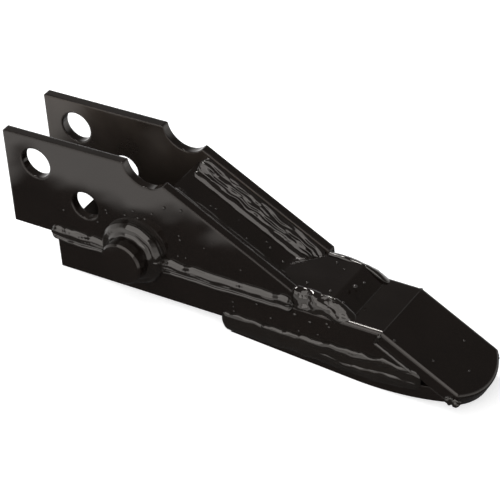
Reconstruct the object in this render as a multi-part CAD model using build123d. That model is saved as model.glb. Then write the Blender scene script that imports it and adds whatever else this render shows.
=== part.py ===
from build123d import *
from math import cos, sin, tan, radians
import os

os.makedirs("parts", exist_ok=True)

# The tooth is drawn in its side view first: x runs from the cheeks' rear edge to the nose, z up from
# the cheeks' foot, y across with the middle of the gap at 0. It is tilted onto its rest at the end.
# All lengths are millimetres, all angles degrees.

# Cheeks
cheek_thickness = 6.35
gap_width = 38.1
cheek_height = 66.6
slope_angle = 30.0
slope_foot_x = 215.2
tip_x = 202.0
upper_hole_x = 22.5
upper_hole_z = 47.9
upper_hole_diameter = 20.64
lower_hole_x = 56.4
lower_hole_z = 26.2
lower_hole_diameter = 19.05
notch_x = 104.6
notch_z = 68.6
notch_radius = 16.0
cheek_edge_break = 0.5

# Base bar
bar_width = gap_width + 2 * cheek_thickness
bar_thickness = 25.4
bar_tilt = 0.95
bar_rear_x = 32.3
bar_edge_round = 2.5
bar_low_edge_round = 0.8

# Blade on the bar's sloped front
blade_thickness = 9.5
blade_slope = 30.5
blade_rear_x = 262.0
blade_side_length = 58.0
blade_full_length = 67.8
blade_corner_round = 2.5

# Shin plate between the cheeks
shin_thickness = 9.5
shin_foot_x = 195.2
shin_rear_x = 113.0
shin_bend_radius = 8.0
foot_front_top_x = 227.0
foot_front_x = 240.0

# Wear shoe: flat on the ground, then rising to the nose
rest_angle = 5.34
shoe_thickness = 9.5
shoe_rise_start = 208.0
shoe_rise_radius = 200.0

# Stub pins
pin_x = 90.0
pin_z = 3.0
pin_diameter = 28.6
pin_length = 16.5
pin_chamfer = 1.2

# Welds
ring_leg_on_plate = 8.3
ring_leg_on_pin = 8.5
seam_bead_width = 10.5
seam_bead_height = 3.4
shin_weld_width = 12.7
shin_weld_height = 9.6
shoe_weld_bulge = 3.0
shoe_weld_depth = 5.0
blade_bead_radius = 1.7

half_gap = gap_width / 2
half_width = bar_width / 2
big = 400.0


def bar_top(x):
    return -x * tan(radians(bar_tilt))


def slab(face, y_low, y_high):
    # a flat outline drawn in x and z becomes a plate between two y positions
    return Pos(0, y_high, 0) * extrude(Plane.XZ * face, amount=y_high - y_low)


def other_side(shape):
    return mirror(shape, Plane.XZ)


def half_space(y_low, y_high):
    return Pos(0, (y_low + y_high) / 2, 0) * Box(2 * big, y_high - y_low, 2 * big)


def bead(start, end, radius):
    # a round-ended rod between two points
    run = Vector(*end) - Vector(*start)
    rod = Cylinder(radius, run.length, align=(Align.CENTER, Align.CENTER, Align.MIN))
    body = Plane(origin=start, z_dir=run) * rod
    return body + Pos(*start) * Sphere(radius) + Pos(*end) * Sphere(radius)


def small_bead(start, end, radius):
    # an eight-sided run that passes both points by its radius
    run = Vector(*end) - Vector(*start)
    rod = extrude(RegularPolygon(radius, 8), amount=run.length + 2 * radius)
    rod = chamfer(rod.faces().filter_by(Axis.Z).edges(), 0.4 * radius)
    return Plane(origin=start, z_dir=run) * Pos(0, 0, -radius) * rod


# Cheek: one profile with the half-round notch and both bolt holes, edges just broken
slope_top_x = slope_foot_x - cheek_height / tan(radians(slope_angle))
tip_top_z = (slope_foot_x - tip_x) * tan(radians(slope_angle))
cheek_outline = Polyline(
    (0, 0),
    (0, cheek_height),
    (slope_top_x, cheek_height),
    (tip_x, tip_top_z),
    (tip_x, bar_top(tip_x)),
    close=True,
)
cheek_face = make_face(cheek_outline)
cheek_face -= Pos(notch_x, notch_z) * Circle(notch_radius)
sharp_corners = cheek_face.vertices().filter_by(lambda v: v.Y > 1.0)
cheek_face = fillet(sharp_corners, 1.0)
cheek_face -= Pos(upper_hole_x, upper_hole_z) * Circle(upper_hole_diameter / 2)
cheek_face -= Pos(lower_hole_x, lower_hole_z) * Circle(lower_hole_diameter / 2)
right_cheek = slab(cheek_face, -half_width, -half_gap)
cheek_rims = right_cheek.faces().filter_by(Axis.Y).edges().filter_by(lambda e: e.center().Z > 0.5)
right_cheek = chamfer(cheek_rims, cheek_edge_break)
left_cheek = other_side(right_cheek)

# Blade: laid on the slope, its rear end square against the bar's shoulder, its nose a shallow arc
slope = radians(blade_slope)
blade_plane = Plane(
    origin=(blade_rear_x, 0, bar_top(blade_rear_x)),
    x_dir=(cos(slope), 0, -sin(slope)),
    z_dir=(sin(slope), 0, cos(slope)),
)
right_side = Line((0, -half_width), (blade_side_length, -half_width))
nose_arc = ThreePointArc(
    (blade_side_length, -half_width), (blade_full_length, 0), (blade_side_length, half_width)
)
left_side = Line((blade_side_length, half_width), (0, half_width))
rear_end = Line((0, half_width), (0, -half_width))
blade_face = make_face([right_side, nose_arc, left_side, rear_end])
nose_corners = blade_face.vertices().filter_by(lambda v: v.X > 10)
blade_face = fillet(nose_corners, blade_corner_round)
blade = extrude(blade_face, amount=-blade_thickness)
blade_top_rim = blade.faces().sort_by(Axis.Z)[-1].edges().filter_by(lambda e: e.center().X > 1)
blade = fillet(blade_top_rim, bar_edge_round)
blade = blade_plane * blade

# Everything above the blade's underside, used to seat the bar and the shoe against it
seat_block = Box(big, big, big, align=(Align.MIN, Align.CENTER, Align.MIN))
bar_seat = blade_plane * Pos(0, 0, -blade_thickness) * seat_block
shoe_seat = blade_plane * Pos(-60, 0, -blade_thickness) * seat_block

# Base bar: flat bar stock with rolled edges, front end cut away for the blade
bar_end_x = bar_rear_x + 300
bar_bottom_drop = bar_thickness / cos(radians(bar_tilt))
bar_outline = Polyline(
    (bar_rear_x, bar_top(bar_rear_x)),
    (bar_end_x, bar_top(bar_end_x)),
    (bar_end_x, bar_top(bar_end_x) - bar_bottom_drop),
    (bar_rear_x, bar_top(bar_rear_x) - bar_bottom_drop),
    close=True,
)
base_bar = slab(make_face(bar_outline), -half_width, half_width)
long_edges = base_bar.edges().filter_by(lambda e: e.length > 290).sort_by(Axis.Z)
base_bar = fillet(long_edges[2:], bar_edge_round)
long_edges = base_bar.edges().filter_by(lambda e: e.length > 290).sort_by(Axis.Z)
base_bar = fillet(long_edges[:2], bar_low_edge_round)
base_bar -= bar_seat

# Shin plate: one bend, the sloping leg between the cheeks and the foot on the bar
shin_slope = radians(slope_angle)
shin_drop = shin_thickness / cos(shin_slope)
foot_top_drop = shin_thickness
bend_x = shin_foot_x - (foot_top_drop + bar_top(190)) / tan(shin_slope)
rear_top = (shin_rear_x, (shin_foot_x - shin_rear_x) * tan(shin_slope))
rear_low = (rear_top[0] - shin_thickness * sin(shin_slope), rear_top[1] - shin_thickness * cos(shin_slope))
low_bend_x = shin_foot_x - (shin_drop + bar_top(178)) / tan(shin_slope)
shin_outline = Polyline(
    rear_top,
    (bend_x, bar_top(bend_x) + foot_top_drop),
    (foot_front_top_x, bar_top(foot_front_top_x) + foot_top_drop),
    (foot_front_x, bar_top(foot_front_x)),
    (low_bend_x, bar_top(low_bend_x)),
    rear_low,
    close=True,
)
shin_face = make_face(shin_outline)
inner_bend = shin_face.vertices().sort_by_distance((bend_x, bar_top(bend_x) + foot_top_drop))[0]
shin_face = fillet(inner_bend, shin_bend_radius)
outer_bend = shin_face.vertices().sort_by_distance((low_bend_x, bar_top(low_bend_x)))[0]
shin_face = fillet(outer_bend, shin_bend_radius + shin_thickness)
foot_corner = (foot_front_top_x, bar_top(foot_front_top_x) + foot_top_drop)
foot_nose = shin_face.vertices().sort_by_distance(foot_corner)[0]
shin_face = fillet(foot_nose, 3.0)
shin_plate = slab(shin_face, -half_gap, half_gap)

# Stub pins over the seam of cheek and bar, outer rim chamfered
pin_radius = pin_diameter / 2
pin = Cylinder(pin_radius, pin_length, align=(Align.CENTER, Align.CENTER, Align.MIN))
pin = chamfer(pin.edges().sort_by(Axis.Z)[-1], pin_chamfer)
pin_base = Plane(origin=(pin_x, -half_width, pin_z), z_dir=(0, -1, 0))
right_stub_pin = pin_base * pin
left_stub_pin = other_side(right_stub_pin)

# Ring weld round each stub pin, a convex fillet
ring_toe = pin_radius + ring_leg_on_plate
ring_outline = Polyline(
    (pin_radius, 0),
    (ring_toe, 0),
    (pin_radius + 0.66 * ring_leg_on_plate, 0.64 * ring_leg_on_pin),
    (pin_radius, ring_leg_on_pin),
    close=True,
)
ring = revolve(Plane.XZ * make_face(ring_outline), Axis.Z, 360)
right_pin_weld = pin_base * ring
left_pin_weld = other_side(right_pin_weld)

# Seam beads along each cheek's foot, behind and in front of the stub pin
bead_radius = ((seam_bead_width / 2) ** 2 + seam_bead_height ** 2) / (2 * seam_bead_height)
bead_y = -half_width + bead_radius - seam_bead_height
outside_right = half_space(-big, -half_width)
bead_end_inset = seam_bead_width / 2


def largest(shape):
    return shape.solids().sort_by(SortBy.VOLUME)[-1]


def seam_bead(x_start, x_end):
    start = (x_start + bead_end_inset, bead_y, bar_top(x_start))
    end = (x_end - bead_end_inset, bead_y, bar_top(x_end))
    run = bead(start, end, bead_radius) & outside_right
    return largest(run - right_pin_weld - right_stub_pin)


right_rear_seam_weld = seam_bead(28, 74)
right_front_seam_weld = seam_bead(106, 206)
left_rear_seam_weld = other_side(right_rear_seam_weld)
left_front_seam_weld = other_side(right_front_seam_weld)

# Heavy fillet between each cheek and the shin plate, running down the slope to the cheek's tip
shin_plane = Plane(
    origin=(rear_top[0], 0, rear_top[1]),
    x_dir=(0, 1, 0),
    z_dir=(cos(shin_slope), 0, -sin(shin_slope)),
)
toe_y = half_gap - shin_weld_width
fillet_mid = (toe_y + 0.55 * shin_weld_width, 0.62 * shin_weld_height)
shin_weld_edges = [
    Line((toe_y, 0), (half_gap, 0)),
    Line((half_gap, 0), (half_gap, shin_weld_height)),
    ThreePointArc((half_gap, shin_weld_height), fillet_mid, (toe_y, 0)),
]
shin_weld_run = extrude(make_face(shin_weld_edges), amount=big)
left_shin_weld = shin_plane * Pos(0, 0, 1.5) * shin_weld_run
behind_tip = Box(2 * big, big, 2 * big, align=(Align.MAX, Align.CENTER, Align.CENTER))
left_shin_weld &= Pos(tip_x, 0, 0) * behind_tip
left_shin_weld = (left_shin_weld - shin_plate).solids().sort_by(Axis.Z)[-1]
right_shin_weld = other_side(left_shin_weld)

# Filled corner in front of each cheek's tip, beside the foot of the shin plate
tip_low = bar_top(220)
tip_edges = [
    Line((half_gap, tip_low - 8), (half_gap, tip_low + shin_thickness)),
    ThreePointArc(
        (half_gap, tip_low + shin_thickness),
        (half_width - 2.0, tip_low + 0.55 * shin_thickness),
        (half_width - 0.2, tip_low - 2.0),
    ),
    Line((half_width - 0.2, tip_low - 2.0), (half_width - 0.2, tip_low - 8)),
    Line((half_width - 0.2, tip_low - 8), (half_gap, tip_low - 8)),
]
tip_plane = Plane(origin=(tip_x, 0, 0), x_dir=(0, 1, 0), z_dir=(1, 0, 0))
left_tip_weld = tip_plane * extrude(make_face(tip_edges), amount=foot_front_x - tip_x)
front_cut = Polyline(
    (foot_front_top_x - 1, tip_low + shin_thickness + 1),
    (foot_front_x + 1, tip_low - 3),
    (foot_front_x + 1, tip_low + 30),
    (foot_front_top_x - 1, tip_low + 30),
    close=True,
)
left_tip_weld -= slab(make_face(front_cut), -half_width, half_width)
left_tip_weld = largest(left_tip_weld - base_bar)
right_tip_weld = other_side(left_tip_weld)

# From here on the side view is turned so that the bar's heel and the shoe's flat lie on the ground
heel_z = bar_top(bar_rear_x) - bar_bottom_drop


def at_rest(shape):
    return Rot(0, -rest_angle, 0) * Pos(-bar_rear_x, 0, -heel_z) * shape


bar_rise = radians(rest_angle - bar_tilt)
shoe_start = shoe_thickness / tan(bar_rise)
base_bar = at_rest(base_bar)
blade = at_rest(blade)
shoe_seat = at_rest(shoe_seat)


def skid_line(height, start, sweep_angle):
    # a line at one height over the ground, then an arc rising with the shoe
    flat = Line((start, height), (shoe_rise_start, height))
    rise = CenterArc((shoe_rise_start, shoe_rise_radius), shoe_rise_radius - height, 270, sweep_angle)
    return flat, rise


# Wear shoe: plate rolled up at the front, feathered under the blade
under_flat, under_rise = skid_line(0, shoe_start, 26)
upper_flat, upper_rise = skid_line(shoe_thickness, shoe_start, 26)
shoe_edges = [
    under_flat,
    under_rise,
    Line(under_rise @ 1, upper_rise @ 1),
    upper_rise,
    upper_flat,
    Line((shoe_start, 0), (shoe_start, shoe_thickness)),
]
wear_shoe = slab(make_face(shoe_edges), -half_width, half_width) - shoe_seat
wear_shoe = largest(wear_shoe)

# Multi-pass runs that close the wedge between bar and shoe along both sides
low_flat, low_rise = skid_line(shoe_thickness - 4.5, shoe_start - 5, 22)
weld_top_start = (shoe_start - 5, (shoe_start - 5) * tan(bar_rise) + 4.0)
weld_top_end = (low_rise @ 1).X, 30.0
shoe_weld_edges = [
    low_flat,
    low_rise,
    Line(low_rise @ 1, weld_top_end),
    Line(weld_top_end, weld_top_start),
    Line(weld_top_start, (shoe_start - 5, shoe_thickness - 4.5)),
]
shoe_run = slab(make_face(shoe_weld_edges), -half_width - shoe_weld_bulge, -half_width + shoe_weld_depth)
outer_rim = shoe_run.faces().sort_by(Axis.Y)[0].edges()
shoe_run = chamfer(outer_rim, shoe_weld_bulge - 0.3)
behind_shoe = Box(big, bar_width, big, align=(Align.MAX, Align.CENTER, Align.CENTER))
shoe_run -= Pos(shoe_start, 0, 0) * behind_shoe
right_shoe_weld = largest(shoe_run - base_bar - wear_shoe - blade - shoe_seat)
left_shoe_weld = other_side(right_shoe_weld)

# Fillet across the shoe's rear end, under the bar
end_toe = (shoe_start - 6, (shoe_start - 6) * tan(bar_rise))
end_weld_edges = [
    Line((shoe_start, 1.5), (shoe_start, shoe_thickness)),
    Line((shoe_start, shoe_thickness), end_toe),
    ThreePointArc(end_toe, (shoe_start - 4, 5.0), (shoe_start, 1.5)),
]
shoe_end_weld = slab(make_face(end_weld_edges), -half_width, half_width)
shoe_end_weld = largest(shoe_end_weld - base_bar - right_shoe_weld - left_shoe_weld)

# Thin bead down the blade's rear end and along its underside, on each side of the bar
shoulder_top = (blade_rear_x - 1.0, -half_width, bar_top(blade_rear_x) - 2.5)
shoulder_low = (
    blade_rear_x - blade_thickness * sin(slope),
    -half_width,
    bar_top(blade_rear_x) - blade_thickness * cos(slope),
)
seam_end = (shoulder_low[0] + 28 * cos(slope), -half_width, shoulder_low[2] - 28 * sin(slope))
blade_bead = small_bead(shoulder_top, shoulder_low, blade_bead_radius)
blade_bead += small_bead(shoulder_low, seam_end, blade_bead_radius)
right_blade_weld = largest(at_rest(blade_bead & outside_right) - right_shoe_weld)
left_blade_weld = other_side(right_blade_weld)

# Short build-up of weld on each corner of the nose
corner_top = blade_plane * Pos(blade_side_length - 2, -half_width, -2.5)
corner_low = blade_plane * Pos(blade_side_length - 2, -half_width, -blade_thickness + 1)
nose_bead = small_bead(tuple(corner_top.position), tuple(corner_low.position), 2.6)
right_nose_weld = largest(at_rest(nose_bead) - blade - wear_shoe)
left_nose_weld = other_side(right_nose_weld)

pieces = {
    "right_cheek": at_rest(right_cheek),
    "left_cheek": at_rest(left_cheek),
    "base_bar": base_bar,
    "shin_plate": at_rest(shin_plate),
    "blade": blade,
    "wear_shoe": wear_shoe,
    "right_stub_pin": at_rest(right_stub_pin),
    "left_stub_pin": at_rest(left_stub_pin),
    "right_pin_weld": at_rest(right_pin_weld),
    "left_pin_weld": at_rest(left_pin_weld),
    "right_rear_seam_weld": at_rest(right_rear_seam_weld),
    "left_rear_seam_weld": at_rest(left_rear_seam_weld),
    "right_front_seam_weld": at_rest(right_front_seam_weld),
    "left_front_seam_weld": at_rest(left_front_seam_weld),
    "right_shin_weld": at_rest(right_shin_weld),
    "left_shin_weld": at_rest(left_shin_weld),
    "right_tip_weld": at_rest(right_tip_weld),
    "left_tip_weld": at_rest(left_tip_weld),
    "right_shoe_weld": right_shoe_weld,
    "left_shoe_weld": left_shoe_weld,
    "shoe_end_weld": shoe_end_weld,
    "right_blade_weld": right_blade_weld,
    "left_blade_weld": left_blade_weld,
    "right_nose_weld": right_nose_weld,
    "left_nose_weld": left_nose_weld,
}

# Origin on the ground under the middle of the tooth
whole = Compound(children=[piece.solid() for piece in pieces.values()]).bounding_box()
to_origin = Pos(-whole.center().X, 0, -whole.min.Z)

for name, piece in pieces.items():
    export_step(to_origin * piece.solid(), "parts/" + name + ".step")

print("origin shift", round(-whole.center().X, 3), round(-whole.min.Z, 3), "size", whole.size)
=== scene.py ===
import math
import random

import bmesh
import bpy
from mathutils import Matrix, Vector, noise


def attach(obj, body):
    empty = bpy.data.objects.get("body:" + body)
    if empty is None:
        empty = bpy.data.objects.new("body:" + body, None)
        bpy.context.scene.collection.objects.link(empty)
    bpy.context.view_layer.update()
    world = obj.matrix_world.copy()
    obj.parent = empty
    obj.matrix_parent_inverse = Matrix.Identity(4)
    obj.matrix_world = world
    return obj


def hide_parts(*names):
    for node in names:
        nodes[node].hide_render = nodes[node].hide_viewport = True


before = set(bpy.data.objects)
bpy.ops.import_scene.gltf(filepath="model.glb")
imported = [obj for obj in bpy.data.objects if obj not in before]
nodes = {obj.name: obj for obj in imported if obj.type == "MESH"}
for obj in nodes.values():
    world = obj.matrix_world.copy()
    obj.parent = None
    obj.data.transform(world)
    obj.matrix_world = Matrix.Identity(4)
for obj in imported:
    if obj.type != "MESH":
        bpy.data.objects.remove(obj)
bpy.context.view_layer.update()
scene = bpy.context.scene
print("frame:", len(nodes), "CAD nodes")

# The welds are laid out in the tooth's side view, in millimetres: x from the cheeks' rear edge,
# y across with the middle of the gap at 0, z up from the cheeks' foot. toRow tilts them onto the rest.
mm = 0.001
restAngle = 5.34
heelX, heelZ = 32.3, -25.939
originX = -123.276
toRow = (
    Matrix.Scale(mm, 4)
    @ Matrix.Translation((originX, 0, 0))
    @ Matrix.Rotation(math.radians(-restAngle), 4, "Y")
    @ Matrix.Translation((-heelX, 0, -heelZ))
)

groundClear = 0.0002  # metres between a weld and the ground
halfGap = 19.05       # inner face of a cheek
halfWidth = 25.4      # outer face of a cheek, and side of the bar
slopeTan = math.tan(math.radians(30.0))
shinFootX = 195.2     # where the shin plate's upper face would meet the cheeks' foot
footTop = 9.5
bladeRearX = 262.0
bladeSlope = math.radians(30.5)


def barTop(x):
    return -x * math.tan(math.radians(0.95))


photoView = {
    "place": (0.70388, -1.16774, 1.10740),
    "turn": (52.0926, -0.1930, 31.2930),   # degrees
    "lens": 206.23,
}
camData = bpy.data.cameras.new("photoCamera")
camData.lens = photoView["lens"]
camData.sensor_width = 36.0
camData.clip_start = 0.05
camData.clip_end = 50.0
camera = bpy.data.objects.new("photoCamera", camData)
camera.location = photoView["place"]
camera.rotation_euler = [math.radians(a) for a in photoView["turn"]]
scene.collection.objects.link(camera)
scene.camera = camera
scene.view_settings.view_transform = "Standard"
print("camera set")


def newGroup(name, inputs, outputs):
    group = bpy.data.node_groups.new(name, "ShaderNodeTree")
    for label, kind, value in inputs:
        socket = group.interface.new_socket(label, in_out="INPUT", socket_type=kind)
        socket.default_value = value
    for label, kind in outputs:
        group.interface.new_socket(label, in_out="OUTPUT", socket_type=kind)
    ins = group.nodes.new("NodeGroupInput")
    outs = group.nodes.new("NodeGroupOutput")
    return group, ins, outs


def addNode(tree, kind, **settings):
    node = tree.nodes.new(kind)
    for key, value in settings.items():
        setattr(node, key, value)
    return node


def addMath(tree, operation, a, b):
    node = addNode(tree, "ShaderNodeMath", operation=operation)
    for socket, value in zip(node.inputs, (a, b)):
        if isinstance(value, (int, float)):
            socket.default_value = value
        else:
            tree.links.new(value, socket)
    return node.outputs[0]


def sprayedPaintGroup():
    # gloss black spray paint: brown-black drift in the colour, patches of thinner gloss, slight waves
    group, ins, outs = newGroup(
        "sprayedPaint",
        [
            ("Coordinate", "NodeSocketVector", (0, 0, 0)),
            ("Deep Colour", "NodeSocketColor", (0.006, 0.005, 0.0045, 1)),
            ("Thin Colour", "NodeSocketColor", (0.014, 0.010, 0.008, 1)),
            ("Roughness Low", "NodeSocketFloat", 0.05),
            ("Roughness High", "NodeSocketFloat", 0.12),
            ("Wave Depth", "NodeSocketFloat", 0.1),
            ("Peel Depth", "NodeSocketFloat", 0.004),
            ("Gap Haze", "NodeSocketFloat", 0.0),
            ("Haze Colour", "NodeSocketColor", (0.05, 0.04, 0.033, 1)),
        ],
        [
            ("Colour", "NodeSocketColor"),
            ("Roughness", "NodeSocketFloat"),
            ("Height", "NodeSocketFloat"),
        ],
    )
    link = group.links.new
    drift = addNode(group, "ShaderNodeTexNoise")
    drift.inputs["Scale"].default_value = 28.0
    drift.inputs["Detail"].default_value = 5.0
    link(ins.outputs["Coordinate"], drift.inputs["Vector"])
    tint = addNode(group, "ShaderNodeMix", data_type="RGBA")
    link(drift.outputs["Fac"], tint.inputs["Factor"])
    link(ins.outputs["Deep Colour"], tint.inputs["A"])
    link(ins.outputs["Thin Colour"], tint.inputs["B"])
    # paint that drifted into the gap between the cheeks is thin and hazy
    sides = addNode(group, "ShaderNodeSeparateXYZ")
    link(ins.outputs["Coordinate"], sides.inputs[0])
    depth = addMath(group, "ABSOLUTE", sides.outputs["Y"], 0)
    inside = addMath(group, "LESS_THAN", depth, 0.0193)
    haze = addMath(group, "MULTIPLY", inside, ins.outputs["Gap Haze"])
    cloud = addMath(group, "MULTIPLY", haze, drift.outputs["Fac"])
    hazed = addNode(group, "ShaderNodeMix", data_type="RGBA")
    link(cloud, hazed.inputs["Factor"])
    link(tint.outputs["Result"], hazed.inputs["A"])
    link(ins.outputs["Haze Colour"], hazed.inputs["B"])
    link(hazed.outputs["Result"], outs.inputs["Colour"])

    gloss = addNode(group, "ShaderNodeTexNoise")
    gloss.inputs["Scale"].default_value = 55.0
    gloss.inputs["Detail"].default_value = 6.0
    link(ins.outputs["Coordinate"], gloss.inputs["Vector"])
    spread = addNode(group, "ShaderNodeMapRange")
    spread.inputs["From Min"].default_value = 0.35
    spread.inputs["From Max"].default_value = 0.7
    link(gloss.outputs["Fac"], spread.inputs["Value"])
    link(ins.outputs["Roughness Low"], spread.inputs["To Min"])
    link(ins.outputs["Roughness High"], spread.inputs["To Max"])
    dull = addMath(group, "MULTIPLY", haze, 0.12)
    dulled = addMath(group, "ADD", spread.outputs["Result"], dull)
    link(dulled, outs.inputs["Roughness"])

    wave = addNode(group, "ShaderNodeTexNoise")
    wave.inputs["Scale"].default_value = 22.0
    wave.inputs["Detail"].default_value = 1.0
    link(ins.outputs["Coordinate"], wave.inputs["Vector"])
    peel = addNode(group, "ShaderNodeTexNoise")
    peel.inputs["Scale"].default_value = 900.0
    peel.inputs["Detail"].default_value = 2.0
    link(ins.outputs["Coordinate"], peel.inputs["Vector"])
    waves = addMath(group, "MULTIPLY", wave.outputs["Fac"], ins.outputs["Wave Depth"])
    peels = addMath(group, "MULTIPLY", peel.outputs["Fac"], ins.outputs["Peel Depth"])
    total = addMath(group, "ADD", waves, peels)
    link(total, outs.inputs["Height"])
    return group


paintGroup = sprayedPaintGroup()


def paintMaterial(name, look):
    material = bpy.data.materials.new(name)
    material.use_nodes = True
    tree = material.node_tree
    shader = tree.nodes["Principled BSDF"]
    coords = addNode(tree, "ShaderNodeTexCoord")
    paint = addNode(tree, "ShaderNodeGroup", node_tree=paintGroup)
    for label, value in look["paint"].items():
        paint.inputs[label].default_value = value
    tree.links.new(coords.outputs["Object"], paint.inputs["Coordinate"])
    tree.links.new(paint.outputs["Colour"], shader.inputs["Base Color"])
    tree.links.new(paint.outputs["Roughness"], shader.inputs["Roughness"])
    bump = addNode(tree, "ShaderNodeBump")
    bump.inputs["Distance"].default_value = mm
    tree.links.new(paint.outputs["Height"], bump.inputs["Height"])
    if look["edgeRadius"]:
        edge = addNode(tree, "ShaderNodeBevel", samples=4)
        edge.inputs["Radius"].default_value = look["edgeRadius"] * mm
        tree.links.new(edge.outputs["Normal"], bump.inputs["Normal"])
    tree.links.new(bump.outputs["Normal"], shader.inputs["Normal"])
    shader.inputs["IOR"].default_value = look["ior"]
    shader.inputs["Specular Tint"].default_value = look["tint"]
    return material


plateLook = {
    "paint": {"Wave Depth": 0.35, "Peel Depth": 0.0015, "Roughness Low": 0.04, "Roughness High": 0.10,
              "Deep Colour": (0.0055, 0.0042, 0.0036, 1), "Thin Colour": (0.011, 0.008, 0.0066, 1)},
    "edgeRadius": 0.8,
    "ior": 1.5,
    "tint": (1.0, 0.93, 0.87, 1),
}
cheekLook = dict(plateLook, paint=dict(plateLook["paint"], **{"Gap Haze": 1.0}), edgeRadius=1.6)
weldLook = {
    "paint": {"Wave Depth": 0.1, "Peel Depth": 0.002, "Roughness Low": 0.06, "Roughness High": 0.14,
              "Deep Colour": (0.0055, 0.0045, 0.004, 1), "Thin Colour": (0.014, 0.011, 0.009, 1)},
    "edgeRadius": 0,
    "ior": 1.6,
    "tint": (1.0, 0.95, 0.9, 1),
}
blackPlate = paintMaterial("glossBlackPlate", plateLook)
blackCheek = paintMaterial("glossBlackCheek", cheekLook)
blackWeld = paintMaterial("glossBlackWeld", weldLook)

coats = {
    "right_cheek": blackCheek, "left_cheek": blackCheek, "base_bar": blackPlate, "shin_plate": blackPlate,
    "blade": blackPlate, "wear_shoe": blackPlate, "right_stub_pin": blackPlate, "left_stub_pin": blackPlate,
}
for name, material in coats.items():
    nodes[name].data.materials.clear()
    nodes[name].data.materials.append(material)
print("paint on", len(coats), "plates and pins")


def between(table, x):
    # straight lines between the rows of a small table of (x, value)
    if x <= table[0][0]:
        return table[0][1]
    for (x0, v0), (x1, v1) in zip(table, table[1:]):
        if x <= x1:
            return v0 + (v1 - v0) * (x - x0) / (x1 - x0)
    return table[-1][1]


def eased(table, x):
    # the same table with a smooth start and stop at every row
    for (x0, v0), (x1, v1) in zip(table, table[1:]):
        if x <= x1:
            k = max(0.0, (x - x0) / (x1 - x0))
            return v0 + (v1 - v0) * k * k * (3 - 2 * k)
    return table[-1][1]


def shapeRun(bm, run, closed=False):
    # one pass of weld: a grid wrapped round its root, its toes on both faces, then closed at the ends
    look = run["look"]
    length = run["length"]
    rows = max(10, round(length / look["step"]))
    cols = look["cols"]
    made = bmesh.ops.create_grid(bm, x_segments=rows, y_segments=cols + 2, size=1)["verts"]
    seed = look["seed"]
    for vert in made:
        u = (vert.co.x + 1) / 2
        column = round((vert.co.y + 1) / 2 * (cols + 2))
        toeA, toeB, out, root = run["section"](u)
        s = u * length
        if closed:
            angle = u * 2 * math.pi
            place = Vector((math.cos(angle), math.sin(angle), 0)) * (length / (2 * math.pi))
            endRound = 1.0
        else:
            place = Vector((s, 0, 0))
            nearest = min(s, length - s)
            endRound = math.sqrt(max(0.0, 1 - (1 - min(1.0, nearest / look["endRadius"])) ** 2))
        across = toeB - toeA
        width = across.length
        middle = (toeA + toeB) / 2
        if column == 0 or column == cols + 2:
            vert.co = root if endRound > 0 else middle
            continue
        t = (column - 1) / cols
        wanderA = noise.noise(place / look["wanderScale"] + Vector((0, 0, seed))) * look["wander"]
        wanderB = noise.noise(place / look["wanderScale"] + Vector((0, 0, seed + 9))) * look["wander"]
        edgeA = toeA - across.normalized() * wanderA
        edgeB = toeB + across.normalized() * wanderB
        flat = edgeA.lerp(edgeB, t)
        flat = middle.lerp(flat, endRound)
        if look["profile"]:
            profile = eased(look["profile"], t)
        else:
            profile = max(0.0, 4 * t * (1 - t)) ** look["roundness"]
        v = (t - 0.5) * width
        spot = place + Vector((0, 0, v))
        lump = noise.noise(spot / look["lumpScale"] + Vector((seed, 0, 0)))
        wrinkle = noise.noise(
            Vector((place.x / look["wrinkleScale"], place.y / look["wrinkleScale"], v / look["wrinkleAcross"]))
            + Vector((0, seed, 0))
        )
        bow = look["bow"] * (2 * t - 1) ** 2 * width
        jitter = noise.noise(place / 7 + Vector((seed, seed, 0))) * 2.0
        ripple = math.sin(2 * math.pi * (s + bow) / look["ripplePitch"] + jitter)
        passes = look["passes"]
        shift = noise.noise(place / 11 + Vector((0, seed, 3))) * 0.22
        groove = (0.5 + 0.5 * math.cos(2 * math.pi * passes * (t + shift * profile))) ** 3 if passes > 1 else 0.0
        height = run["height"](u) * profile * (1 - look["groove"] * groove * profile)
        height += (
            lump * look["lump"] + wrinkle * look["wrinkle"] + ripple * look["ripple"]
        ) * min(1.0, profile * 1.3)
        vert.co = flat + out * (height * endRound) - out * (look["sunk"] * (1 - profile))
    return made


def finishWeld(name, bm, material=None, replacing=()):
    bmesh.ops.remove_doubles(bm, verts=bm.verts, dist=0.002)
    holes = [e for e in bm.edges if e.is_boundary]
    if holes:
        bmesh.ops.holes_fill(bm, edges=holes, sides=0)
    bmesh.ops.dissolve_degenerate(bm, dist=0.0005, edges=bm.edges)
    bmesh.ops.transform(bm, matrix=toRow, verts=bm.verts)
    for vert in bm.verts:
        vert.co.z = max(vert.co.z, groundClear)
    bmesh.ops.recalc_face_normals(bm, faces=bm.faces)
    for face in bm.faces:
        face.smooth = True
    mesh = bpy.data.meshes.new(name)
    bm.to_mesh(mesh)
    bm.free()
    mesh.materials.append(material or blackWeld)
    piece = bpy.data.objects.new(name, mesh)
    scene.collection.objects.link(piece)
    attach(piece, "root")
    if replacing:
        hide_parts(*replacing)
    return piece


baseLook = {
    "step": 0.7, "cols": 20, "seed": 1.0, "endRadius": 4.0, "wander": 1.2, "wanderScale": 9.0,
    "profile": None, "roundness": 0.6, "lump": 0.55, "lumpScale": 10.0, "wrinkle": 0.3, "wrinkleScale": 8.0,
    "wrinkleAcross": 1.8, "bow": 0.35, "ripple": 0.03, "ripplePitch": 2.4, "passes": 1,
    "groove": 0.0, "sunk": 0.35,
}


def lookWith(**changes):
    look = dict(baseLook)
    look.update(changes)
    return look


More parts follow.
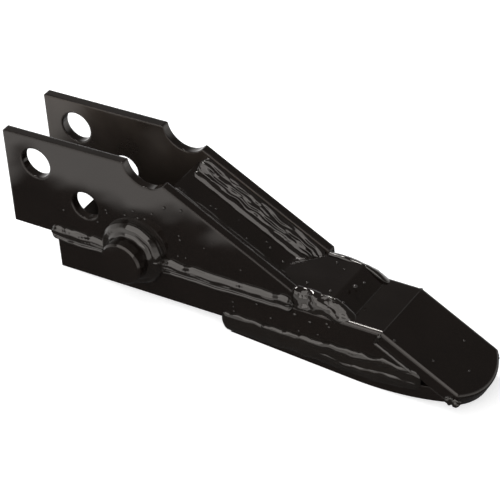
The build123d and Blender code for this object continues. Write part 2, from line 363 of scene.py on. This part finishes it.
# seam of cheek and bar, behind and in front of the stub pin
rearSeam = {"start": 28.0, "end": 73.0, "width": [(28, 11), (40, 13), (60, 12), (73, 11)],
            "height": [(28, 2.8), (45, 3.6), (73, 3.2)], "middle": [(28, 0), (73, 0)]}
frontSeam = {"start": 108.0, "end": 202.0, "width": [(108, 14), (125, 12.5), (160, 12), (202, 12)],
             "height": [(108, 3.8), (160, 3.6), (202, 3.2)], "middle": [(108, 0), (160, 0.2), (202, 0.6)]}
# a broad upper pass, a groove, then a narrow pass with a ledge on top along the lower toe
seamProfile = [(0, 0), (0.07, 0.42), (0.26, 0.92), (0.46, 0.96), (0.62, 0.46), (0.70, 0.20),
               (0.755, 0.56), (0.84, 0.62), (1, 0)]


def seamWeld(name, side, plan, look):
    length = plan["end"] - plan["start"]

    def section(u):
        x = plan["start"] + u * length
        z = barTop(x) + between(plan["middle"], x)
        half = between(plan["width"], x) / 2
        y = side * halfWidth
        return (Vector((x, y, z + half)), Vector((x, y, z - half)), Vector((0, side, 0)),
                Vector((x, y - side * 1.2, z)))

    run = {"section": section, "length": length, "look": look,
           "height": lambda u: between(plan["height"], plan["start"] + u * length)}
    bm = bmesh.new()
    shapeRun(bm, run)
    return finishWeld(name + "_laid", bm, replacing=[name])


for side, sideName, seed in ((-1, "right", 3.0), (1, "left", 23.0)):
    seamWeld(sideName + "_rear_seam_weld", side, rearSeam,
             lookWith(seed=seed, profile=seamProfile, cols=30, lump=0.45))
    seamWeld(sideName + "_front_seam_weld", side, frontSeam,
             lookWith(seed=seed + 4.5, profile=seamProfile, cols=30, lump=0.45))
print("seam welds laid")

# ring round each stub pin
ringProfile = [(0, 0), (0.10, 0.30), (0.22, 0.34), (0.5, 0.95), (0.72, 0.9), (0.9, 0.4), (1, 0)]
ringPlan = {"x": 90.0, "z": 3.0, "pinRadius": 14.3, "toeRadius": 22.4, "climb": 8.0, "bulge": 2.2}


def ringWeld(name, side, look):
    plan = ringPlan
    length = 2 * math.pi * (plan["pinRadius"] + plan["toeRadius"]) / 2

    def section(u):
        a = 2 * math.pi * u
        ray = Vector((math.cos(a), 0, math.sin(a)))
        centre = Vector((plan["x"], side * halfWidth, plan["z"]))
        outward = Vector((0, side, 0))
        toeA = centre + ray * (plan["pinRadius"] - 0.1) + outward * plan["climb"]
        toeB = centre + ray * plan["toeRadius"]
        return toeA, toeB, (ray + outward).normalized(), centre + ray * (plan["pinRadius"] - 0.8) - outward * 0.8

    bm = bmesh.new()
    shapeRun(bm, {"section": section, "length": length, "look": look, "height": lambda u: plan["bulge"]},
             closed=True)
    return finishWeld(name + "_laid", bm, replacing=[name])


for side, sideName, seed in ((-1, "right", 6.0), (1, "left", 27.0)):
    ringWeld(sideName + "_pin_weld", side,
             lookWith(seed=seed, cols=26, lump=0.7, lumpScale=13.0, wrinkle=0.10, ripple=0.02,
                      wander=0.8, profile=ringProfile))
print("pin welds laid")

# shin plate to cheeks: a smooth toe pass, then a heavy wrinkled pass up to the cheek's edge
slopeDir = Vector((math.cos(math.radians(30)), 0, -math.sin(math.radians(30))))
slopeUp = Vector((math.sin(math.radians(30)), 0, math.cos(math.radians(30))))
shinTop = Vector((113.0, 0, (shinFootX - 113.0) * slopeTan))
shinPlan = {
    "toe": {"from": 3.0, "to": 96.0, "low": 12.7, "high": 7.5, "lowLift": 0.0, "highLift": 3.0, "bulge": 0.9},
    "main": {"from": 2.0, "to": 97.0, "low": 9.6, "high": 0.0, "lowLift": 1.4, "highLift": 9.2, "bulge": 1.3},
}

# the near run is lower and smoother, hardly seen over the cheek's edge
nearShin = {
    "toe": {"from": 3.0, "to": 96.0, "low": 12.7, "high": 7.5, "lowLift": 0.0, "highLift": 2.0, "bulge": 0.6},
    "main": {"from": 2.0, "to": 97.0, "low": 10.5, "high": 0.0, "lowLift": 0.8, "highLift": 7.4, "bulge": 0.8},
}


def shinPass(bm, side, plan, look):
    length = plan["to"] - plan["from"]

    def section(u):
        along = shinTop + slopeDir * (plan["from"] + u * length)
        toeA = along + Vector((0, side * (halfGap - plan["low"]), 0)) + slopeUp * plan["lowLift"]
        toeB = along + Vector((0, side * (halfGap - plan["high"]), 0)) + slopeUp * plan["highLift"]
        out = (Vector((0, -side, 0)) + slopeUp * 1.3).normalized()
        return toeA, toeB, out, along + Vector((0, side * (halfGap - 0.5 * plan["high"] + 0.5), 0)) - slopeUp * 0.5

    shapeRun(bm, {"section": section, "length": length, "look": look, "height": lambda u: plan["bulge"]})


for side, sideName, seed, plan in ((-1, "right", 12.0, nearShin), (1, "left", 33.0, shinPlan)):
    bm = bmesh.new()
    rough = 1.0 if side > 0 else 0.35
    shinPass(bm, side, plan["toe"], lookWith(seed=seed, wrinkle=0.12, lump=0.4, wander=0.9, cols=12, ripple=0.02))
    shinPass(bm, side, plan["main"],
             lookWith(seed=seed + 2, wrinkle=0.8 * rough, lump=0.9 * rough, wander=1.2, cols=26, passes=3,
                      groove=0.55 * rough, wrinkleScale=9.0, wrinkleAcross=1.7))
    finishWeld(sideName + "_shin_weld_laid", bm, replacing=[sideName + "_shin_weld"])
print("shin welds laid")

# filled corner in front of each cheek's tip
tipPlan = {"start": 199.0, "end": 242.0, "bulge": [(199, 3.2), (215, 3.4), (232, 2.4), (242, 1.0)],
           "top": [(199, 8.0), (215, 6.2), (228, 5.6), (236, 1.0), (242, -3.0)]}


def tipWeld(name, side, look):
    plan = tipPlan
    length = plan["end"] - plan["start"]

    def section(u):
        x = plan["start"] + u * length
        top = between(plan["top"], x)
        toeA = Vector((x, side * (halfGap - 1.5), top))
        toeB = Vector((x, side * (halfWidth - 0.2), barTop(x) - 2.0))
        out = Vector((0, side, 1.0)).normalized()
        return toeA, toeB, out, Vector((x, side * (halfGap + 0.5), barTop(x) - 1.0))

    bm = bmesh.new()
    shapeRun(bm, {"section": section, "length": length, "look": look,
                  "height": lambda u: between(plan["bulge"], plan["start"] + u * length)})
    return finishWeld(name + "_laid", bm, replacing=[name])


tipWeld("right_tip_weld", -1,
        lookWith(seed=41.0, lump=2.6, lumpScale=7.5, wrinkle=0.35, wrinkleScale=4.0, step=0.5, cols=24))
tipWeld("left_tip_weld", 1, lookWith(seed=47.0, lump=1.0, wrinkle=0.3))
print("tip welds laid")

# both sides of the wedge between bar and shoe: a wide base, then two narrower passes on it
shoeBase = {
    "start": 150.0, "end": 287.0,
    "upper": [(150, -21.0), (156, -22.0), (184, -23.5), (230, -23.6), (262, -23.0), (287, -24.5)],
    "lower": [(150, -35.4), (162, -36.5), (177, -37.8), (204, -37.8), (232, -41.0), (262, -42.0), (287, -38.5)],
    "bulge": [(150, 2.4), (200, 2.6), (287, 1.6)], "lift": 0.0,
}
shoeUpper = {
    "start": 178.0, "end": 281.0,
    "upper": [(178, -22.6), (208, -23.0), (240, -22.6), (262, -22.0), (281, -23.6)],
    "lower": [(178, -28.4), (208, -29.0), (240, -29.5), (262, -29.0), (281, -28.0)],
    "bulge": [(178, 1.5), (240, 1.9), (281, 1.0)], "lift": 0.9,
}
shoeLower = {
    "start": 203.0, "end": 284.0,
    "upper": [(203, -29.5), (225, -29.5), (240, -32.5), (262, -31.0), (284, -31.5)],
    "lower": [(203, -34.5), (225, -35.0), (240, -38.5), (262, -37.0), (284, -36.5)],
    "bulge": [(203, 1.3), (240, 1.6), (284, 0.8)], "lift": 1.1,
}


def shoePass(bm, side, plan, look):
    length = plan["end"] - plan["start"]

    def section(u):
        x = plan["start"] + u * length
        y = side * (halfWidth + plan["lift"])
        high = between(plan["upper"], x)
        low = between(plan["lower"], x)
        return (Vector((x, y, high)), Vector((x, y, low)), Vector((0, side, 0)),
                Vector((x, side * (halfWidth - 1.0), (high + low) / 2)))

    shapeRun(bm, {"section": section, "length": length, "look": look,
                  "height": lambda u: between(plan["bulge"], plan["start"] + u * length)})


for side, sideName, seed in ((-1, "right", 52.0), (1, "left", 71.0)):
    bm = bmesh.new()
    shoePass(bm, side, shoeBase,
             lookWith(seed=seed, roundness=0.35, wrinkle=0.2, lump=0.7, lumpScale=12, cols=24, sunk=0.4))
    shoePass(bm, side, shoeUpper, lookWith(seed=seed + 3, wrinkle=0.3, lump=0.6, wander=1.6, cols=18, sunk=0.8))
    shoePass(bm, side, shoeLower, lookWith(seed=seed + 6, wrinkle=0.3, lump=0.6, wander=1.6, cols=18, sunk=0.8))
    finishWeld(sideName + "_shoe_weld_laid", bm, replacing=[sideName + "_shoe_weld"])
print("shoe welds laid")

# across the shoe's rear end, under the bar (positions on the ground line of the side view)
def shoeEndWeld(look):
    length = 2 * halfWidth - 1.0

    def section(u):
        y = -halfWidth + 0.5 + u * length
        toeA = Vector((150.0, y, -28.2))
        toeB = Vector((155.5, y, -36.0))
        return toeA, toeB, Vector((-0.8, 0, -0.6)), Vector((157.5, y, -28.8))

    bm = bmesh.new()
    shapeRun(bm, {"section": section, "length": length, "look": look, "height": lambda u: 1.2})
    return finishWeld("shoe_end_weld_laid", bm, replacing=["shoe_end_weld"])


shoeEndWeld(lookWith(seed=83.0, wrinkle=0.3, lump=0.5, wander=0.6, endRadius=2.0))

# thin bead down the blade's rear end and along its underside
bladeDown = Vector((-math.sin(bladeSlope), 0, -math.cos(bladeSlope)))
bladeAlong = Vector((math.cos(bladeSlope), 0, -math.sin(bladeSlope)))
bladeTopRear = Vector((bladeRearX, 0, barTop(bladeRearX)))
bladeLowRear = bladeTopRear + bladeDown * 9.5


def threadWeld(bm, side, start, end, half, height, look):
    length = (end - start).length
    along = (end - start).normalized()
    across = along.cross(Vector((0, 1, 0))).normalized()

    def section(u):
        middle = start + along * (u * length)
        middle = Vector((middle.x, side * halfWidth, middle.z))
        return (middle + across * half, middle - across * half, Vector((0, side, 0)),
                middle - Vector((0, side * 1.0, 0)))

    shapeRun(bm, {"section": section, "length": length, "look": look, "height": lambda u: height})


threadLook = lookWith(step=0.5, cols=8, wander=0.35, wanderScale=4.0, lump=0.25, lumpScale=4.0,
                      wrinkle=0.08, ripple=0.05, ripplePitch=1.6, endRadius=1.6, sunk=0.2)
for side, sideName, seed in ((-1, "right", 91.0), (1, "left", 95.0)):
    bm = bmesh.new()
    look = dict(threadLook, seed=seed)
    threadWeld(bm, side, bladeTopRear + bladeDown * 1.5, bladeLowRear + bladeDown * 0.6, 1.5, 1.5, look)
    threadWeld(bm, side, bladeLowRear - bladeAlong * 0.8, bladeLowRear + bladeAlong * 29, 1.6, 1.6, look)
    finishWeld(sideName + "_blade_weld_laid", bm, replacing=[sideName + "_blade_weld"])
print("blade welds laid")

# lump of weld on each corner of the nose
noseSide = 58.0


def lumpPiece(name, spots, replacing, seed):
    bm = bmesh.new()
    for place, size in spots:
        made = bmesh.ops.create_icosphere(bm, subdivisions=4, radius=1.0)["verts"]
        for vert in made:
            swell = 1 + 0.28 * noise.noise(vert.co * 1.6 + Vector((seed, place[0], 0)))
            vert.co = Vector((vert.co.x * size[0], vert.co.y * size[1], vert.co.z * size[2])) * swell + Vector(place)
    return finishWeld(name, bm, replacing=replacing)


for side, sideName, seed in ((-1, "right", 5.0), (1, "left", 8.0)):
    corner = bladeTopRear + bladeAlong * (noseSide - 1.5) + bladeDown * 6.0
    spots = [
        ((corner.x - 2.0, side * (halfWidth - 0.5), corner.z - 0.5), (3.6, 2.6, 3.4)),
        ((corner.x + 1.4, side * (halfWidth - 0.9), corner.z - 1.8), (3.0, 2.4, 3.2)),
    ]
    lumpPiece(sideName + "_nose_weld_laid", spots, [sideName + "_nose_weld"], seed)
print("nose welds laid")

# small droplets of spatter frozen on the plates; each row is place, place, radius
sideDrops = [
    (39.7, 18.4, 0.9), (72.0, 27.8, 0.7), (72.5, 25.7, 0.7), (86.0, 28.2, 0.8), (92.4, 33.0, 0.8),
    (95.5, 28.8, 0.8), (100.6, 29.6, 0.8), (106.3, 34.9, 0.8), (115.7, 42.0, 1.0), (127.9, 43.4, 1.0),
    (124.5, 24.2, 0.8), (124.9, 21.3, 0.8), (122.1, 8.7, 0.7), (127.8, 9.0, 0.8), (64.7, 16.8, 0.7),
    (176.3, -10.1, 0.9), (159.0, -14.1, 0.7), (159.1, -17.5, 0.7), (159.2, -20.8, 0.8),
    (185.5, -17.6, 0.9), (202.9, -9.0, 1.2), (213.1, -11.7, 1.1), (224.9, -9.3, 1.0), (226.2, -11.2, 0.9),
    (204.7, -21.0, 0.8), (218.0, -19.5, 0.7), (148.5, 26.0, 0.7), (142.0, 20.5, 0.6), (167.0, 12.0, 0.7),
]
shinDrops = [
    (134.4, -3.3, 0.8), (137.4, -2.6, 0.8), (170.2, -8.2, 0.8), (168.7, 2.4, 0.9), (172.1, 0.1, 1.0),
    (182.1, -2.2, 0.9), (185.5, 1.3, 0.8), (186.1, -10.4, 0.8), (160.0, -6.0, 0.7), (150.0, 2.0, 0.6),
]
footDrops = [(233.9, -20.4, 1.0), (232.4, -3.5, 1.4), (235.2, 2.3, 0.9), (210.8, 12.6, 0.9), (218.0, 9.0, 0.7),
             (221.5, -14.0, 1.0), (205.0, -13.0, 1.0)]
bladeDrops = [(269.1, -23.5, 0.8), (290.6, -16.5, 0.7), (295.8, 12.0, 0.7), (307.6, -4.5, 0.7)]


def droplet(bm, place, up, radius, draw):
    made = bmesh.ops.create_icosphere(bm, subdivisions=2, radius=1.0)["verts"]
    turn = up.to_track_quat("Z", "Y").to_matrix()
    squash = Matrix.Diagonal((radius * draw.uniform(0.9, 1.25), radius, radius * draw.uniform(0.6, 0.85)))
    for vert in made:
        vert.co = turn @ (squash @ vert.co) + place + up * (radius * 0.25)


def spatterPiece(name, drops):
    draw = random.Random(name)
    bm = bmesh.new()
    for place, up, radius in drops:
        droplet(bm, Vector(place), Vector(up).normalized(), radius, draw)
    return finishWeld(name, bm)


def bladePoint(x, y):
    return (x, y, bladeTopRear.z - (x - bladeRearX) * math.tan(bladeSlope))


bladeUp = (math.sin(bladeSlope), 0, math.cos(bladeSlope))
rightSpatter = [((x, -halfWidth, z), (0, -1, 0), r) for x, z, r in sideDrops]
topSpatter = [((x, y, (shinFootX - x) * slopeTan), tuple(slopeUp), r) for x, y, r in shinDrops]
topSpatter += [((x, y, barTop(x) + footTop), (0, 0, 1), r) for x, y, r in footDrops]
topSpatter += [(bladePoint(x, y), bladeUp, r) for x, y, r in bladeDrops]
spatterPiece("right_side_spatter", rightSpatter)
spatterPiece("top_spatter", topSpatter)
print("spatter placed")


groundPlan = {
    "colour": (0.8, 0.8, 0.8, 1), "cameraGlow": 0.62,
    "paintedShadowGlow": 0.07, "farGlow": 1.25,     # what the paint mirrors: a painted shadow close to the tooth, white further off
    "paintedShadowSide": 0.104, "paintedShadowEnd": 0.205, "soft": 0.012, "drift": 0.020,
}


def stageMaterial(name):
    # white ground that keeps the shadow; in reflections it shows a painted shadow, dim beside the tooth, and is
    # white further off
    material = bpy.data.materials.new(name)
    material.use_nodes = True
    tree = material.node_tree
    tree.nodes.clear()
    out = addNode(tree, "ShaderNodeOutputMaterial")
    diffuse = addNode(tree, "ShaderNodeBsdfDiffuse")
    diffuse.inputs["Color"].default_value = groundPlan["colour"]
    glow = addNode(tree, "ShaderNodeEmission")
    path = addNode(tree, "ShaderNodeLightPath")
    tree.links.new(addMath(tree, "MULTIPLY", path.outputs["Is Camera Ray"], groundPlan["cameraGlow"]),
                   glow.inputs["Strength"])
    seen = addNode(tree, "ShaderNodeAddShader")
    tree.links.new(diffuse.outputs[0], seen.inputs[0])
    tree.links.new(glow.outputs[0], seen.inputs[1])
    coords = addNode(tree, "ShaderNodeTexCoord")
    drift = addNode(tree, "ShaderNodeTexNoise")
    drift.inputs["Scale"].default_value = 22.0
    drift.inputs["Detail"].default_value = 2.0
    tree.links.new(coords.outputs["Object"], drift.inputs["Vector"])
    shift = addMath(tree, "MULTIPLY", addMath(tree, "SUBTRACT", drift.outputs["Fac"], 0.5), groundPlan["drift"] * 4)
    split = addNode(tree, "ShaderNodeSeparateXYZ")
    tree.links.new(coords.outputs["Object"], split.inputs[0])
    edges = []
    for axis, edge in (("X", groundPlan["paintedShadowEnd"]), ("Y", groundPlan["paintedShadowSide"])):
        away = addMath(tree, "ABSOLUTE", split.outputs[axis], 0)
        fade = addNode(tree, "ShaderNodeMapRange", interpolation_type="SMOOTHSTEP")
        fade.inputs["From Min"].default_value = edge - groundPlan["soft"]
        fade.inputs["From Max"].default_value = edge + groundPlan["soft"]
        tree.links.new(addMath(tree, "ADD", away, shift), fade.inputs["Value"])
        edges.append(fade.outputs["Result"])
    # painted shadow: in reflections the ground glows dim inside these edges round the tooth and white outside them
    outsidePaintedShadow = addMath(tree, "MAXIMUM", edges[0], edges[1])
    paintedShadowRise = addMath(tree, "MULTIPLY", outsidePaintedShadow, groundPlan["farGlow"] - groundPlan["paintedShadowGlow"])
    mirroredGroundWithPaintedShadow = addNode(tree, "ShaderNodeEmission")
    tree.links.new(addMath(tree, "ADD", paintedShadowRise, groundPlan["paintedShadowGlow"]), mirroredGroundWithPaintedShadow.inputs["Strength"])
    mirrored = addMath(tree, "MAXIMUM", path.outputs["Is Glossy Ray"], path.outputs["Is Transmission Ray"])
    both = addNode(tree, "ShaderNodeMixShader")
    tree.links.new(mirrored, both.inputs[0])
    tree.links.new(seen.outputs[0], both.inputs[1])
    tree.links.new(mirroredGroundWithPaintedShadow.outputs[0], both.inputs[2])
    tree.links.new(both.outputs[0], out.inputs["Surface"])
    return material


bm = bmesh.new()
bmesh.ops.create_grid(bm, x_segments=1, y_segments=1, size=6.0)
floorMesh = bpy.data.meshes.new("floor")
bm.to_mesh(floorMesh)
bm.free()
floorMesh.materials.append(stageMaterial("whiteGroundWithPaintedShadow"))
floor = bpy.data.objects.new("floor", floorMesh)
scene.collection.objects.link(floor)

world = bpy.data.worlds.new("studio")
scene.world = world
world.use_nodes = True
tree = world.node_tree
tree.nodes.clear()
worldOut = addNode(tree, "ShaderNodeOutputWorld")
backdrop = addNode(tree, "ShaderNodeBackground")
coords = addNode(tree, "ShaderNodeTexCoord")
split = addNode(tree, "ShaderNodeSeparateXYZ")
tree.links.new(coords.outputs["Generated"], split.inputs[0])
fade = addNode(tree, "ShaderNodeMapRange", interpolation_type="SMOOTHSTEP")
fade.inputs["From Min"].default_value = 0.15
fade.inputs["From Max"].default_value = 0.60
fade.inputs["To Min"].default_value = 1.0
fade.inputs["To Max"].default_value = 0.10
tree.links.new(split.outputs["Z"], fade.inputs["Value"])
path = addNode(tree, "ShaderNodeLightPath")
level = addMath(tree, "MAXIMUM", fade.outputs["Result"], path.outputs["Is Camera Ray"])
tree.links.new(level, backdrop.inputs["Strength"])
backdrop.inputs["Color"].default_value = (1, 1, 1, 1)
tree.links.new(backdrop.outputs[0], worldOut.inputs["Surface"])

lampPlan = {
    "overheadLeft": {"azimuth": -47, "elevation": 56, "distance": 1.3, "size": (0.34, 0.34), "power": 8},
    "frontFill": {"azimuth": -175, "elevation": 43, "distance": 1.5, "size": (2.2, 1.5), "power": 20},
}
aim = Vector((0, 0, 0.03))
for name, plan in lampPlan.items():
    azimuth, elevation = math.radians(plan["azimuth"]), math.radians(plan["elevation"])
    away = Vector((math.sin(azimuth) * math.cos(elevation), math.cos(azimuth) * math.cos(elevation), math.sin(elevation)))
    lamp = bpy.data.lights.new(name, "AREA")
    lamp.shape = "RECTANGLE"
    lamp.size, lamp.size_y = plan["size"]
    lamp.energy = plan["power"]
    lampObject = bpy.data.objects.new(name, lamp)
    lampObject.location = aim + away * plan["distance"]
    lampObject.rotation_euler = away.to_track_quat("Z", "Y").to_euler()
    scene.collection.objects.link(lampObject)
print("stage and lamps set")
